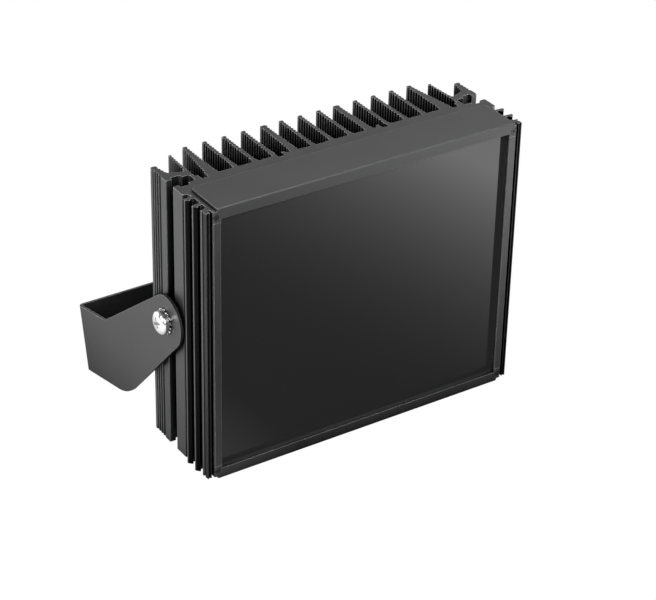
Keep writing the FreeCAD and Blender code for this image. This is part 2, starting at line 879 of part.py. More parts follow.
def bracket():
    """One folded sheet: two arms and a base plate with three holes."""
    inner = bend_radius
    outer = bend_radius + sheet
    front = -2 * arm_end_radius
    rear = bracket_along
    channel = [(-arm_outer_x, front), (-arm_x, front), (-arm_x, rear - sheet, inner),
               (arm_x, rear - sheet, inner), (arm_x, front), (arm_outer_x, front),
               (arm_outer_x, rear, outer), (-arm_outer_x, rear, outer)]
    folded = prism(channel, bracket_bottom, arm_end_radius)
    side = [tangent_point(arm_heel, bracket_bottom, -1),
            (arm_heel, bracket_bottom, heel_round),
            (rear, bracket_bottom), (rear, bracket_top),
            (arm_shoulder, bracket_top, shoulder_round),
            tangent_point(arm_shoulder, bracket_top, 1)]
    silhouette = sideways(side, -arm_outer_x, arm_outer_x)
    ends = Part.makeCylinder(arm_end_radius, 2 * arm_outer_x, V(-arm_outer_x, -arm_end_ahead, 0), V(1, 0, 0))
    sheet_part = folded.common(fuse(silhouette, ends))
    cuts = [Part.makeCylinder(thread_radius + pivot_play, 2 * arm_outer_x, V(-arm_outer_x, 0, 0), V(1, 0, 0))]
    height = (bracket_top + bracket_bottom) / 2
    reach = wall_hole_circle / 2
    for x, radius in ((0, wall_bore), (-reach, wall_hole), (reach, wall_hole)):
        cuts.append(rod(radius, x, height, rear - 2 * sheet, rear + sheet))
    sheet_part = sheet_part.cut(cuts)
    sheet_part.rotate(V(0, 0, 0), V(1, 0, 0), -bracket_tilt)
    sheet_part.translate(V(0, slot_centre, pivot_height))
    return sheet_part


def save(name, shape):
    """Writes one piece with the origin in the middle of the bottom cap."""
    placed = shape.copy()
    placed.translate(V(0, -cap_depth / 2, 0))
    placed.exportStep("parts/" + name + ".step")


os.makedirs("parts", exist_ok=True)
save("heatsink_body", heatsink_body())
save("top_cap", top_cap())
save("bottom_cap", upended(top_cap()))
save("top_cap_seal", cap_seal())
save("bottom_cap_seal", upended(cap_seal()))
save("corner_screws", corner_screws())
save("front_window", front_window())
save("window_gasket", window_gasket())
save("thermal_pad", thermal_pad())
save("led_board", led_board())
save("led_emitters", led_emitters())
save("lens_array", lens_array())
save("board_screws", board_screws())
save("driver_board", driver_board())
save("driver_standoffs", driver_standoffs())
save("inductors", inductors())
save("capacitors", capacitors())
save("terminal_block", terminal_block())
save("board_link", board_link())
save("gland_gasket", gland_gasket())
save("gland_body", gland_body())
save("gland_seal", gland_seal())
save("gland_cap_nut", gland_cap_nut())
save("slot_nuts", pair(slot_nut()))
save("pivot_screws", pair(pivot_screw()))
save("lock_washers", pair(lock_washer()))
save("spacer_washers", pair(spacer_washer()))
save("bracket", bracket())
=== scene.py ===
import bpy
import bmesh
from math import cos, pi, radians, sin, sqrt, tau
from mathutils import Matrix, Vector
from mathutils.kdtree import KDTree


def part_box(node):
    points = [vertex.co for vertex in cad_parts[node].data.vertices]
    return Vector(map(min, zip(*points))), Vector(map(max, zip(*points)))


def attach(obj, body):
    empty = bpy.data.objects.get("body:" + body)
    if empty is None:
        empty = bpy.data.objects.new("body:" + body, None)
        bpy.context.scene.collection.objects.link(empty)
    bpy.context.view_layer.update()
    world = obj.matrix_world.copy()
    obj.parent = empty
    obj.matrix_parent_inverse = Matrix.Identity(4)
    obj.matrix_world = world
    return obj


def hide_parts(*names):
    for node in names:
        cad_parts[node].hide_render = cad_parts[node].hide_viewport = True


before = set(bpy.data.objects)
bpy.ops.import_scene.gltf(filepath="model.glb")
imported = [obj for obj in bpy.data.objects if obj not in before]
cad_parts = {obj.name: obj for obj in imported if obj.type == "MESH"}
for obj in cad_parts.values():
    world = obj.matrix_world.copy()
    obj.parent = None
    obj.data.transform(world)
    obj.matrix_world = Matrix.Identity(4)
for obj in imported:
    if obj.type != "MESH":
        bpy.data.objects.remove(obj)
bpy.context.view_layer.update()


# ---- Housing extrusion
# One length of black anodised aluminium extrusion, sawn square at both ends. Its flutes, ribs
# and slots carry painted shade, dead black at the bottom, and its crests and sharp edges carry
# painted highlights. It is shown as a copy of the CAD node with deeper flutes and rounder side ribs.

def step(tree, kind, inputs, result=0, **settings):
    """One node, with its settings, its values and its links; returns one of its outputs."""
    node = tree.nodes.new(kind)
    for label, value in settings.items():
        setattr(node, label, value)
    for key, value in inputs.items():
        if isinstance(value, bpy.types.NodeSocket):
            tree.links.new(value, node.inputs[key])
        else:
            node.inputs[key].default_value = value
    return node.outputs[result]


def figure(tree, operation, *values):
    """Numbers put together; each may come from another node."""
    return step(tree, "ShaderNodeMath", dict(enumerate(values)), operation=operation)


def start_material(name, colour, roughness, metallic=0.0):
    """A material with its main shader set, and the tools to add nodes to it."""
    material = bpy.data.materials.new(name)
    material.use_nodes = True
    tree = material.node_tree
    shader = tree.nodes["Principled BSDF"]
    shader.inputs["Base Color"].default_value = (*colour, 1.0)
    shader.inputs["Roughness"].default_value = roughness
    shader.inputs["Metallic"].default_value = metallic
    return material, tree, shader, step(tree, "ShaderNodeTexCoord", {}, "Object")


def stretched(tree, place, stretch):
    """The object's own coordinates, stretched by a factor along each axis."""
    return step(tree, "ShaderNodeMapping", {"Vector": place, "Scale": stretch}, "Vector")


def noise(tree, place, scale, detail=3.0):
    """A noise value about 0.5 at one scale, in features a metre."""
    return step(tree, "ShaderNodeTexNoise", {"Vector": place, "Scale": scale, "Detail": detail}, "Fac")


def spread(tree, value, low, high, to_low=0.0, to_high=1.0):
    """A value moved from one range to another."""
    ranges = {"From Min": low, "From Max": high, "To Min": to_low, "To Max": to_high}
    return step(tree, "ShaderNodeMapRange", {"Value": value, **ranges}, "Result")


def blend_colour(tree, share, first, second):
    """Two colours mixed by a share; either may come from another node."""
    first, second = ((*c, 1.0) if isinstance(c, tuple) else c for c in (first, second))
    return step(tree, "ShaderNodeMix", {0: share, 6: first, 7: second}, 2, data_type="RGBA")


def two_toned(tree, shader, share, first, second):
    """A base colour mixed of two by a share."""
    tree.links.new(blend_colour(tree, share, first, second), shader.inputs["Base Color"])


def uneven_gloss(tree, shader, value, smooth, rough, low=0.3):
    """A roughness that follows a noise value."""
    tree.links.new(spread(tree, value, low, 0.7, smooth, rough), shader.inputs["Roughness"])


def bumped(tree, shader, height, distance, strength, under=None):
    """Small relief from a height value, over an earlier relief if there is one."""
    inputs = {"Height": height, "Distance": distance, "Strength": strength}
    if under is not None:
        inputs["Normal"] = under
    relief = step(tree, "ShaderNodeBump", inputs, "Normal")
    tree.links.new(relief, shader.inputs["Normal"])
    return relief


def softened(tree, radius):
    """A normal that rounds sharp edges, and a value that is high on those edges."""
    rounded = step(tree, "ShaderNodeBevel", {"Radius": radius}, "Normal", samples=6)
    flat = step(tree, "ShaderNodeNewGeometry", {}, "Normal")
    match = step(tree, "ShaderNodeVectorMath", {0: rounded, 1: flat}, "Value", operation="DOT_PRODUCT")
    return rounded, spread(tree, match, 0.98, 0.80)


def openness(tree, reach, closed, clear):
    """A value that falls from one to nothing where walls stand within the reach."""
    seen = step(tree, "ShaderNodeAmbientOcclusion", {"Distance": reach}, "AO", samples=4)
    return spread(tree, seen, closed, clear)


def scaled(colour, share):
    """A colour made darker or lighter by a share."""
    return tuple(min(1.0, c * share) for c in colour)


def black_with_painted_light(tree, shader, toned, edge_colour, on_edge, crevice, hollow, lit=1.0, crest_highlight=0.0):
    """Painted shade, dead black in fine grooves and deep slots, the plain tone in the open, and painted
    highlights on outer edges and crests.
    """
    exposed = figure(tree, "MULTIPLY", openness(tree, crevice, *crevice_range),
                     openness(tree, hollow, *hollow_range))
    exposed = figure(tree, "MULTIPLY", exposed, lit)
    outer = figure(tree, "MAXIMUM", figure(tree, "MULTIPLY", on_edge, exposed), crest_highlight)
    exposed = figure(tree, "MAXIMUM", exposed, crest_highlight)
    # In painted shade the surface also turns to metal of a black colour, which takes its gloss away.
    tree.links.new(spread(tree, exposed, 0.0, 1.0, 0.95, 0.0), shader.inputs["Metallic"])
    deep = blend_colour(tree, exposed, painted_shade_black, toned)
    two_toned(tree, shader, outer, deep, edge_colour)


def flute_shares(tree):
    """How far a flute's or rib's wall escapes the painted shade, and how much painted highlight it has
    near the crests.
    """
    depth = step(tree, "ShaderNodeAttribute", {}, "Fac", attribute_name="painted_flute_shade")
    crest_highlight = figure(tree, "MULTIPLY", spread(tree, depth, 0.10, 0.20, 0.0, 0.18),
                   spread(tree, depth, 0.20, 0.42, 1.0, 0.0))
    return spread(tree, depth, 0.30, 0.72, 1.0, 0.05), crest_highlight


def anodised_extrusion(name, colour, edge_colour):
    """Satin black anodising with the die's fine lines along it, painted shade in its flutes, ribs and
    slots, and painted highlights on its edges and crests.
    """
    material, tree, shader, place = start_material(name, colour, 0.36)
    rounded, on_edge = softened(tree, 0.0003)
    lines = noise(tree, stretched(tree, place, (1.0, 1.0, 0.004)), 1400.0, 2.0)
    mottle = noise(tree, place, 55.0, 4.0)
    toned = blend_colour(tree, spread(tree, mottle, 0.35, 0.65), colour, scaled(colour, 1.25))
    black_with_painted_light(tree, shader, toned, edge_colour, on_edge, flute_crevice, wide_hollow,
                 *flute_shares(tree))
    uneven_gloss(tree, shader, lines, 0.31, 0.42)
    grain = noise(tree, place, 5200.0, 1.0)
    under = bumped(tree, shader, lines, 0.00003, 0.6, rounded)
    bumped(tree, shader, grain, 0.00001, 0.5, under)
    return material


def wear(node_name, material):
    """Puts one material on all of a CAD node."""
    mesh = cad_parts[node_name].data
    mesh.materials.clear()
    mesh.materials.append(material)


def placed(name, data):
    """An object at the origin, unturned, that shows a mesh, a light or a camera."""
    thing = bpy.data.objects.new(name, data)
    bpy.context.scene.collection.objects.link(thing)
    return thing


def settle(piece, body, slot, *nodes):
    """The piece rides on a body and stands for its CAD nodes; the slot is not used."""
    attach(piece, body)
    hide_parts(*nodes)


black = (0.026, 0.026, 0.027)
# Painted shade: its black, its reach in flutes and wide hollows, and the ranges over which it sets in.
painted_shade_black = (0.001, 0.001, 0.001)
flute_crevice = 0.0010
wide_hollow = 0.020
crevice_range = (0.60, 0.93)
hollow_range = (0.25, 0.75)
flute_deeper = 0.00025
flute_reach = 0.0017
flute_angles = (0.5, 1.3)
shortest_line = 0.004
fluted_from = 0.032
fin_lines_from = 0.0325
outer_fins_beyond = 0.105
outer_fin_lines_from = 0.0415
# The value at the flute crests, where the painted highlight lies.
crest_mark = 0.2
rib_rears = (9.1, -0.7)
rib_match = 0.05
# Points of the ribs' sections in millimetres: along Y and out from the middle, as extruded and
# as the real, rounder ribs have them, and how much painted shade lies there.
claw_points = ((-4.20, 120.87, -4.30, 119.60, 0.95), (-4.20, 120.50, -4.40, 119.20, 0.95),
               (-3.80, 120.10, -4.20, 118.70, 0.95), (-3.47, 121.60, -2.50, 121.30, 0.66),
               (-3.15, 120.10, -3.40, 118.60, 0.95), (-2.75, 119.75, -2.75, 118.20, 0.95))
nose_points = ((-10.98, 119.50, -10.98, 119.00, 0.78), (-12.66, 120.09, -12.66, 119.80, 0.62),
               (-15.11, 119.65, -15.11, 119.60, 0.58), (-15.40, 119.31, -15.40, 119.31, 0.60),
               (-15.40, 119.00, -15.40, 119.00, 0.60), (-14.50, 118.10, -14.50, 118.10, 0.74),
               (-15.40, 117.20, -15.40, 117.20, 0.62), (-15.40, 116.89, -15.40, 116.89, 0.64),
               (-15.11, 116.60, -15.11, 116.60, 0.68))


def section_point(at):
    """A point's place in the section, rounded so that it is found again."""
    return round(at.x, 5), round(at.y, 5)


def flute_lines(bm):
    """The flutes' bottoms and crests as points of the section, with the way out of the metal."""
    bottoms, crests = {}, {}
    for edge in bm.edges:
        at = edge.verts[0].co
        start = fin_lines_from if abs(at.x) < outer_fins_beyond else outer_fin_lines_from
        length = abs(at.z - edge.verts[1].co.z)
        if length < shortest_line or at.y < start or not edge.is_manifold:
            continue
        angle = edge.calc_face_angle_signed(0.0)
        if flute_angles[0] < abs(angle) < flute_angles[1]:
            outward = (edge.link_faces[0].normal + edge.link_faces[1].normal).normalized()
            (crests if angle > 0 else bottoms)[section_point(at)] = outward
    return bottoms, crests


def search(lines):
    """A search tree over points of the section."""
    tree = KDTree(len(lines))
    for index, (x, y) in enumerate(lines):
        tree.insert((x, y, 0.0), index)
    tree.balance()
    return tree


def rounded_rib(at):
    """A point of a side rib moved to its rounder place with its painted shade, or nothing."""
    y, x = at.y * 1000, abs(at.x) * 1000
    for origin, points in ((rib_rears[0], claw_points), (rib_rears[1], claw_points), (0.0, nose_points)):
        for old_y, old_x, new_y, new_x, dark in points:
            if abs(y - origin - old_y) < rib_match and abs(x - old_x) < rib_match:
                side = 0.001 if at.x > 0 else -0.001
                return Vector((new_x * side, (origin + new_y) / 1000, at.z)), dark
    return None


def carved_extrusion(name, material):
    """The extrusion with deeper flutes and rounder ribs, and each flute's depth or each rib's painted
    shade as a value.
    """
    bm = bmesh.new()
    bm.from_mesh(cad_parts["heatsink_body"].data)
    bmesh.ops.remove_doubles(bm, verts=bm.verts, dist=1e-6)
    bm.normal_update()
    bottoms, crests = flute_lines(bm)
    low, high = search(bottoms), search(crests)
    shade_values = []
    for vertex in bm.verts:
        place = (vertex.co.x, vertex.co.y, 0.0)
        to_low, to_high = low.find(place)[2], high.find(place)[2]
        near = max(to_low, to_high) < flute_reach and place[1] > fluted_from
        depth = crest_mark + (1 - crest_mark) * to_high / (to_low + to_high) if near else 0.0
        outward = bottoms.get(section_point(vertex.co))
        rib = rounded_rib(vertex.co)
        if rib:
            vertex.co, depth = rib
        elif outward is not None:
            vertex.co -= outward * flute_deeper
        shade_values.append(depth)
    mesh = bpy.data.meshes.new(name)
    bm.to_mesh(mesh)
    bm.free()
    marks = mesh.attributes.new("painted_flute_shade", "FLOAT", "CORNER")
    for face in mesh.polygons:
        flank = abs(face.normal.z) < 0.5
        for corner in face.loop_indices:
            marks.data[corner].value = shade_values[mesh.loops[corner].vertex_index] if flank else 0.0
    mesh.materials.append(material)
    return placed(name, mesh)


# The pale colour is the painted highlight on the extrusion's edges and flute crests.
black_anodising = anodised_extrusion("black_anodising", black, (0.85, 0.85, 0.86))
wear("heatsink_body", black_anodising)
settle(carved_extrusion("heatsink_detailed", black_anodising),
       "housing", "black_aluminium", "heatsink_body")


# ---- Thermal pad
# A soft grey silicone sheet, loaded with ceramic powder, lies between the light engine's
# board and the base of the extrusion, which has to be smooth under it.

def filled_silicone(name, colour, fleck):
    """Soft rubber full of pale specks."""
    material, tree, shader, place = start_material(name, colour, 0.7)
    specks = noise(tree, place, 3200.0, 2.0)
    two_toned(tree, shader, spread(tree, specks, 0.45, 0.65), colour, fleck)
    bumped(tree, shader, specks, 0.00004, 0.5)
    return material


wear("thermal_pad", filled_silicone("filled_silicone", (0.42, 0.44, 0.50), (0.60, 0.62, 0.66)))


# ---- Light engine board
# A 1.6 mm aluminium board with a white solder mask over its copper, milled from a panel, so
# that its edges show bare metal. Open slots at its corners take four screws.

def solder_mask(name, colour, edge_colour, copper_share):
    """Lacquer over copper: wide fields stand a hair above the board between them."""
    material, tree, shader, place = start_material(name, colour, 0.3)
    rounded, on_edge = softened(tree, 0.0002)
    upright = step(tree, "ShaderNodeMapping", {"Vector": place, "Rotation": (pi / 2, 0, 0)}, "Vector")
    fields = step(tree, "ShaderNodeTexBrick",
                  {"Vector": upright, "Scale": 60.0, "Mortar Size": 0.012, "Color1": (1, 1, 1, 1),
                   "Color2": (0.9, 0.9, 0.9, 1), "Mortar": (0, 0, 0, 1)}, "Color")
    lacquer = blend_colour(tree, fields, scaled(colour, copper_share), colour)
    two_toned(tree, shader, on_edge, lacquer, edge_colour)
    bumped(tree, shader, fields, 0.00006, 0.6, rounded)
    return material


wear("led_board", solder_mask("white_solder_mask", (0.80, 0.80, 0.77), (0.62, 0.62, 0.64), 0.86))


# ---- Emitters
# Fifteen infrared emitters in a grid of five by three. Each is a ceramic square with a clear
# resin dome, soldered flat to the board.

emitter_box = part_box("led_emitters")
emitter_size = 0.005
emitter_columns = 5
emitter_rows = 3
emitter_foot = 0.0008
dome_share = 0.42


def start_tree(name, sizes):
    """A tree of geometry nodes with one named number input for each size."""
    tree = bpy.data.node_groups.new(name, "GeometryNodeTree")
    tree.interface.new_socket("Geometry", in_out="INPUT", socket_type="NodeSocketGeometry")
    for label, value in sizes.items():
        kind = "NodeSocketInt" if isinstance(value, int) else "NodeSocketFloat"
        tree.interface.new_socket(label, in_out="INPUT", socket_type=kind)
    tree.interface.new_socket("Geometry", in_out="OUTPUT", socket_type="NodeSocketGeometry")
    given = tree.nodes.new("NodeGroupInput")
    return tree, given.outputs


def vector(tree, x=0.0, y=0.0, z=0.0):
    """Three numbers as a vector; each may come from another node."""
    return step(tree, "ShaderNodeCombineXYZ", {"X": x, "Y": y, "Z": z})


def moved(tree, geometry, **inputs):
    """A geometry after its Translation, Rotation or Scale."""
    return step(tree, "GeometryNodeTransform", {"Geometry": geometry, **inputs})


def on_points(tree, points, instance, **inputs):
    """One copy of a geometry on every point."""
    return step(tree, "GeometryNodeInstanceOnPoints", {"Points": points, "Instance": instance, **inputs})


def joined(tree, *parts):
    """Several geometries as one."""
    node = tree.nodes.new("GeometryNodeJoinGeometry")
    for part in parts:
        tree.links.new(part, node.inputs[0])
    return node.outputs[0]


def close_tree(tree, geometry, material):
    """Makes the instances real, sets the material and hands the geometry out."""
    real = step(tree, "GeometryNodeRealizeInstances", {0: geometry})
    painted = step(tree, "GeometryNodeSetMaterial", {0: real, "Material": material})
    last = tree.nodes.new("NodeGroupOutput")
    tree.links.new(painted, last.inputs[0])
    return tree


def grown(name, tree, sizes, points):
    """The plain mesh that a tree makes from a list of points, as an object at the origin."""
    seed = bpy.data.meshes.new(name + "_points")
    seed.from_pydata(points, [], [])
    carrier = placed(name + "_points", seed)
    modifier = carrier.modifiers.new("shape", "NODES")
    modifier.node_group = tree
    for item in tree.interface.items_tree:
        if item.in_out == "INPUT" and item.name in sizes:
            modifier[item.identifier] = sizes[item.name]
    bpy.context.view_layer.update()
    seen = carrier.evaluated_get(bpy.context.evaluated_depsgraph_get())
    mesh = bpy.data.meshes.new_from_object(seen)
    mesh.name = name
    bpy.data.objects.remove(carrier)
    return placed(name, mesh)


def emitter_resin(name):
    """Glossy, faintly clouded resin."""
    material, tree, shader, place = start_material(name, (0.80, 0.76, 0.55), 0.12)
    shader.inputs["Coat Weight"].default_value = 0.6
    shader.inputs["Coat Roughness"].default_value = 0.04
    cloud = noise(tree, place, 900.0, 2.0)
    two_toned(tree, shader, spread(tree, cloud, 0.3, 0.7), (0.78, 0.74, 0.52), (0.86, 0.83, 0.66))
    return material


def emitter_tree(name, sizes, material):
    """A square foot with a flattened dome on it, set on every point, the board behind it."""
    tree, given = start_tree(name, sizes)
    foot = step(tree, "GeometryNodeMeshCube",
                {"Size": vector(tree, given["Size"], given["Foot"], given["Size"])})
    foot = moved(tree, foot, Translation=vector(tree, y=figure(tree, "MULTIPLY", given["Foot"], -0.5)))
    radius = figure(tree, "MULTIPLY", given["Size"], dome_share)
    dome = step(tree, "GeometryNodeMeshUVSphere", {"Segments": 24, "Rings": 12, "Radius": radius})
    rise = figure(tree, "SUBTRACT", given["Height"], given["Foot"])
    flattened = vector(tree, 1.0, figure(tree, "DIVIDE", rise, radius), 1.0)
    dome_at = vector(tree, y=figure(tree, "MULTIPLY", given["Foot"], -1.0))
    dome = moved(tree, dome, Translation=dome_at, Scale=flattened)
    return close_tree(tree, on_points(tree, given["Geometry"], joined(tree, foot, dome)), material)


emitter_sizes = {"Size": emitter_size, "Foot": emitter_foot,
                 "Height": emitter_box[1].y - emitter_box[0].y}
first_emitter = emitter_box[0] + Vector((emitter_size / 2, 0, emitter_size / 2))
last_emitter = emitter_box[1] - Vector((emitter_size / 2, 0, emitter_size / 2))
emitter_places = [(first_emitter.x + (last_emitter.x - first_emitter.x) * i / (emitter_columns - 1),
                   emitter_box[1].y,
                   first_emitter.z + (last_emitter.z - first_emitter.z) * j / (emitter_rows - 1))
                  for i in range(emitter_columns) for j in range(emitter_rows)]
emitter_shape = emitter_tree("emitter", emitter_sizes, emitter_resin("emitter_resin"))
settle(grown("led_emitters_detailed", emitter_shape, emitter_sizes, emitter_places),
       "housing", "emitter_resin", "led_emitters")


# ---- Lens array
# One clear acrylic moulding with a tapered lens over each emitter and a foot at each corner,
# which narrows the beam and sits just behind the window.

def clear_acrylic(name):
    """Clear moulded acrylic with a flow pattern in its gloss."""
    material, tree, shader, place = start_material(name, (0.80, 0.82, 0.84), 0.06)
    shader.inputs["Transmission Weight"].default_value = 0.7
    shader.inputs["IOR"].default_value = 1.49
    uneven_gloss(tree, shader, noise(tree, place, 40.0, 2.0), 0.04, 0.10)
    return material


wear("lens_array", clear_acrylic("clear_acrylic"))


# ---- Driver board and its parts
# A glass-fibre board under a green lacquer carries the supply: two moulded chokes, two drawn
# aluminium capacitors, a grey terminal block and a stiff link up to the light engine.

def moulded(name, colour, roughness, grain=1500.0):
    """Moulded resin or nylon with a fine, dull skin."""
    material, tree, shader, place = start_material(name, colour, roughness)
    rounded, on_edge = softened(tree, 0.0003)
    skin = noise(tree, place, grain, 3.0)
    two_toned(tree, shader, on_edge, colour, tuple(min(1.0, c * 1.6 + 0.01) for c in colour))
    uneven_gloss(tree, shader, skin, roughness - 0.06, roughness + 0.08)
    bumped(tree, shader, skin, 0.00003, 0.6, rounded)
    return material


def drawn_metal(name, colour, roughness):
    """Bare or plated metal with fine marks along its length."""
    material, tree, shader, place = start_material(name, colour, roughness, 1.0)
    rounded, on_edge = softened(tree, 0.0002)
    marks = noise(tree, stretched(tree, place, (1.0, 1.0, 0.05)), 2600.0, 3.0)
    uneven_gloss(tree, shader, marks, roughness - 0.07, roughness + 0.07)
    bumped(tree, shader, marks, 0.00001, 0.5, rounded)
    return material


wear("driver_board", solder_mask("green_solder_mask", (0.030, 0.19, 0.085), (0.36, 0.34, 0.22), 0.6))
wear("inductors", moulded("choke_resin", (0.022, 0.022, 0.023), 0.6))
wear("capacitors", drawn_metal("drawn_can", (0.72, 0.72, 0.74), 0.28))
wear("terminal_block", moulded("terminal_grey", (0.36, 0.38, 0.40), 0.45))
wear("board_link", moulded("link_black", (0.020, 0.020, 0.021), 0.4))


# ---- Standoffs and board screws
# Four hexagonal zinc-plated spacers hold the driver board off the base. Eight zinc-plated M3
# screws with hexagon heads and a driver cross fix both boards.

def zinc_plate(name):
    """Zinc plate with a cloudy bloom."""
    material, tree, shader, place = start_material(name, (0.60, 0.61, 0.64), 0.3, 1.0)
    rounded, on_edge = softened(tree, 0.00015)
    bloom = noise(tree, place, 420.0, 4.0)
    two_toned(tree, shader, spread(tree, bloom, 0.35, 0.65), (0.54, 0.56, 0.60), (0.66, 0.66, 0.66))
    uneven_gloss(tree, shader, bloom, 0.24, 0.38)
    bumped(tree, shader, bloom, 0.00001, 0.4, rounded)
    return material


zinc = zinc_plate("zinc_plate")
wear("driver_standoffs", zinc)

thread_start = 0.0002
thread_crest_at = 0.15
thread_root_at = 0.55
tip_share = 0.7
recess_lap = 0.0004
recess_shorter = 0.55
recess_narrower = 0.6
m3_across = 0.0055
m3_radius = 0.0015
m3_head = 0.0020
m3_chamfer = 0.00035
m3_lap = 0.0001
m3_tip = 0.0006
m3_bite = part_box("board_screws")[1].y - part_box("led_board")[0].y
m3_thread = {"radius": m3_radius, "depth": 0.00028, "pitch": 0.0005}
m3_recess = {"half_width": 0.0004, "half_span": 0.0016, "depth": 0.0011, "turn": 0.3}
board_edge = 0.0045


def boolean_cut(piece, cutter):
    """Cuts one object out of another and throws the cutter away."""
    modifier = piece.modifiers.new("cut", "BOOLEAN")
    modifier.operation = "DIFFERENCE"
    modifier.solver = "EXACT"
    modifier.object = cutter
    bpy.context.view_layer.update()
    seen = piece.evaluated_get(bpy.context.evaluated_depsgraph_get())
    mesh = bpy.data.meshes.new_from_object(seen)
    piece.modifiers.clear()
    piece.data = mesh
    bpy.data.objects.remove(cutter)


def mesh_object(name, bm, material):
    """An object at the origin from a finished bmesh, with its faces turned outwards."""
    bmesh.ops.remove_doubles(bm, verts=bm.verts, dist=1e-7)
    bmesh.ops.recalc_face_normals(bm, faces=bm.faces)
    mesh = bpy.data.meshes.new(name)
    bm.to_mesh(mesh)
    bm.free()
    mesh.materials.append(material)
    return placed(name, mesh)


def revolve(bm, profile, steps):
    """A closed turned shape from (radius, distance) corners about the Y axis."""
    rings = []
    for radius, along in profile:
        angles = [tau * i / steps for i in range(steps)] if radius > 1e-6 else [0.0]
        rings.append([bm.verts.new((radius * cos(a), along, radius * sin(a))) for a in angles])
    for first, second in zip(rings, rings[1:]):
        for i in range(steps):
            j = (i + 1) % steps
            ring = [first[i % len(first)], first[j % len(first)],
                    second[j % len(second)], second[i % len(second)]]
            corners = list(dict.fromkeys(ring))
            if len(corners) > 2:
                bm.faces.new(corners)


def hexagon(bm, across, depth, middle):
    """A hexagonal prism along the Y axis, this wide across its flats."""
    corner = across / sqrt(3)
    laid = Matrix.Translation((0, middle, 0)) @ Matrix.Rotation(pi / 2, 4, "X")
    bmesh.ops.create_cone(bm, cap_ends=True, segments=6, radius1=corner, radius2=corner,
                          depth=depth, matrix=laid)


def wing(bm, half_width, half_span, face, depth, turn):
    """One wing of a cross recess: it narrows to its bottom, below a face on the Y axis."""
    rings = []
    for y, span, width in ((face - recess_lap, half_span, half_width),
                           (face + depth, half_span * recess_shorter, half_width * recess_narrower)):
        rings.append([bm.verts.new((x * cos(turn) - z * sin(turn), y, x * sin(turn) + z * cos(turn)))
                      for x, z in ((-span, -width), (span, -width), (span, width), (-span, width))])
    low, high = rings
    bm.faces.new(low)
    bm.faces.new(high[::-1])
    for i in range(4):
        j = (i + 1) % 4
        bm.faces.new((low[i], low[j], high[j], high[i]))


def cut_cross(screw, face, half_width, half_span, depth, turn):
    """Cuts a cross recess into a screw's head: two crossed wings."""
    cutters = []
    for extra in (0.0, pi / 2):
        bm = bmesh.new()
        wing(bm, half_width, half_span, face, depth, turn + extra)
        cutters.append(mesh_object("recess_wing", bm, screw.data.materials[0]))
    for cutter in cutters:
        boolean_cut(screw, cutter)


def threaded_shank(profile, start, end, tip, radius, depth, pitch):
    """Adds the corners of plain thread rings and a blunt tip to a turned profile."""
    turns = int((end - tip - start) / pitch)
    for i in range(turns):
        along = start + i * pitch
        profile.append((radius, along + pitch * thread_crest_at))
        profile.append((radius - depth, along + pitch * thread_root_at))
    profile += [(radius, start + turns * pitch), (radius * tip_share, end), (0, end)]


def board_screw_model():
    """One M3 screw about the Y axis, its seat at zero and its head in front."""
    bm = bmesh.new()
    hexagon(bm, m3_across, m3_head, -m3_head / 2)
    front = [e for e in bm.edges if all(v.co.y < -m3_head * 0.9 for v in e.verts)]
    bmesh.ops.bevel(bm, geom=front, offset=m3_chamfer, segments=2, affect="EDGES")
    screw = mesh_object("board_screw_model", bm, zinc)
    cut_cross(screw, -m3_head, **m3_recess)
    shank = [(0, -m3_lap), (m3_radius, -m3_lap)]
    threaded_shank(shank, thread_start, m3_bite, m3_tip, **m3_thread)
    bm = bmesh.new()
    bm.from_mesh(screw.data)
    revolve(bm, shank, 20)
    bmesh.ops.recalc_face_normals(bm, faces=bm.faces)
    bm.to_mesh(screw.data)
    bm.free()
    return screw


def board_corners(node):
    """The four screw places of a board, on its front face."""
    low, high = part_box(node)
    return [(x, low.y, z) for x in (low.x + board_edge, high.x - board_edge)
            for z in (low.z + board_edge, high.z - board_edge)]


def scattered_copies(name, model, sizes):
    """A tree that sets one modelled piece on every point, each turned at random."""
    tree, given = start_tree(name, sizes)
    source = step(tree, "GeometryNodeObjectInfo", {"Object": model}, "Geometry")
    index = step(tree, "GeometryNodeInputIndex", {})
    spin = step(tree, "FunctionNodeRandomValue",
                {"Min": 0.0, "Max": tau, "ID": index, "Seed": given["Seed"]}, 1, data_type="FLOAT")
    copies = on_points(tree, given["Geometry"], source, Rotation=vector(tree, y=spin))
    return close_tree(tree, copies, model.data.materials[0])


def screw_set(name, model, seed, places):
    """Copies of one screw on every place as one piece; the model goes."""
    sizes = {"Seed": seed}
    piece = grown(name, scattered_copies(name, model, sizes), sizes, places)
    bpy.data.objects.remove(model)
    return piece


m3_places = board_corners("led_board") + board_corners("driver_board")
settle(screw_set("board_screws_detailed", board_screw_model(), 3, m3_places),
       "housing", "zinc_steel", "board_screws")


# ---- Rubber seals
# Flat silicone frames under the caps, round the window and under the gland, die cut from
# black sheet, with a dull face that is a little uneven.

def rubber(name, colour):
    """Dull black rubber, a little uneven."""
    material, tree, shader, place = start_material(name, colour, 0.8)
    fine = noise(tree, place, 1800.0, 3.0)
    two_toned(tree, shader, spread(tree, fine, 0.3, 0.7), colour, scaled(colour, 1.5))
    bumped(tree, shader, fine, 0.00003, 0.5)
    return material


seal_rubber = rubber("silicone_rubber", (0.012, 0.012, 0.013))
for seal in ("top_cap_seal", "bottom_cap_seal", "window_gasket", "gland_gasket", "gland_seal"):
    wear(seal, seal_rubber)


# ---- Front window
# A 4 mm pane of black acrylic, polished, that lets only infrared through. Rubber holds it
# against a ledge in the extrusion. Handling leaves a few wide, very faint smears.

def black_pane(name, colour):
    """Polished black acrylic with wide, faint smears."""
    material, tree, shader, place = start_material(name, colour, 0.05)
    uneven_gloss(tree, shader, noise(tree, place, 14.0, 4.0), 0.035, 0.075, low=0.35)
    return material


